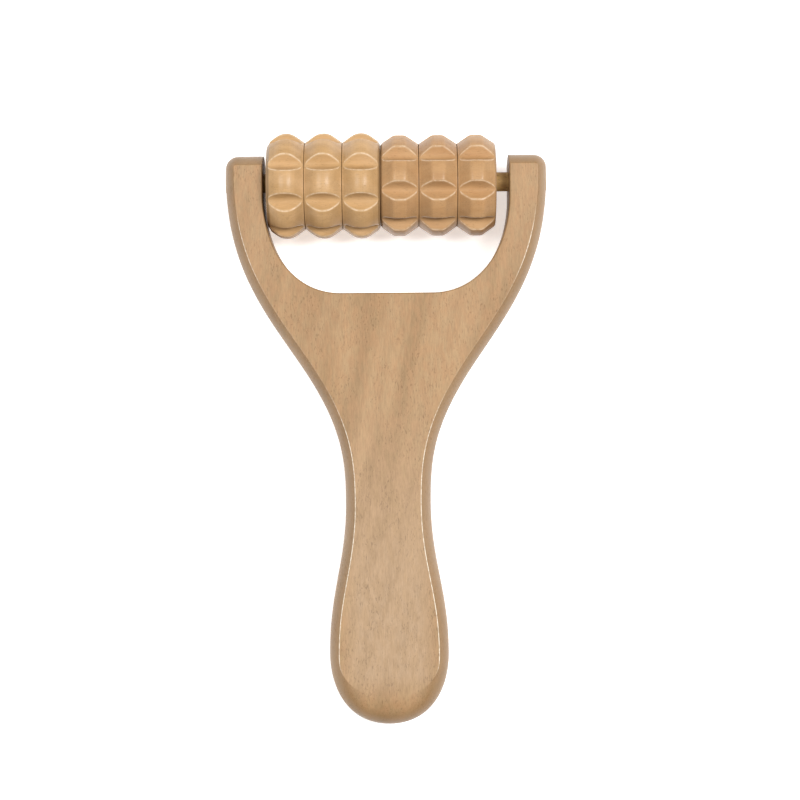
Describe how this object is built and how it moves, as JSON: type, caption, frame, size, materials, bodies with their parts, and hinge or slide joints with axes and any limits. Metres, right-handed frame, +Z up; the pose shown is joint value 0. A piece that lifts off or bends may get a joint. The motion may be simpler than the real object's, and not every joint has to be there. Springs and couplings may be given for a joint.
{
  "type": "roller massager",
  "caption": "Hand-held wooden roller massager: a flat forked handle carries two beaded, fluted rollers side by side on a dowel between its arms.",
  "frame": {"origin": "centre of the bounding box on the table plane, with the tool lying down on its rollers and the end of its handle", "axes": "+X along the dowel that carries the rollers, +Y from the handle's butt towards the rollers, +Z up; the handle's broad faces lean 2.9 degrees from level because the rollers are thicker than the handle"},
  "size_m": [0.083, 0.1528, 0.0272],
  "materials": {
    "handle_wood": "satin lacquer",
    "dowel_wood": "bare, slightly darkened",
    "left_roller_wood": "satin lacquer",
    "right_roller_wood": "satin lacquer"
  },
  "bodies": {
    "handle": {"fork_handle": "handle_wood", "axle_dowel": "dowel_wood"},
    "left_roller": {"left_roller": "left_roller_wood"},
    "right_roller": {"right_roller": "right_roller_wood"}
  },
  "joints": [
    {"name": "left_roller_spin", "type": "hinge", "parent": "handle", "child": "left_roller", "pos_m": [-0.01605, 0.06285, 0.01366], "axis": [1, 0, 0], "continuous": true},
    {"name": "right_roller_spin", "type": "hinge", "parent": "handle", "child": "right_roller", "pos_m": [0.01335, 0.06285, 0.01366], "axis": [1, 0, 0], "continuous": true}
  ]
}
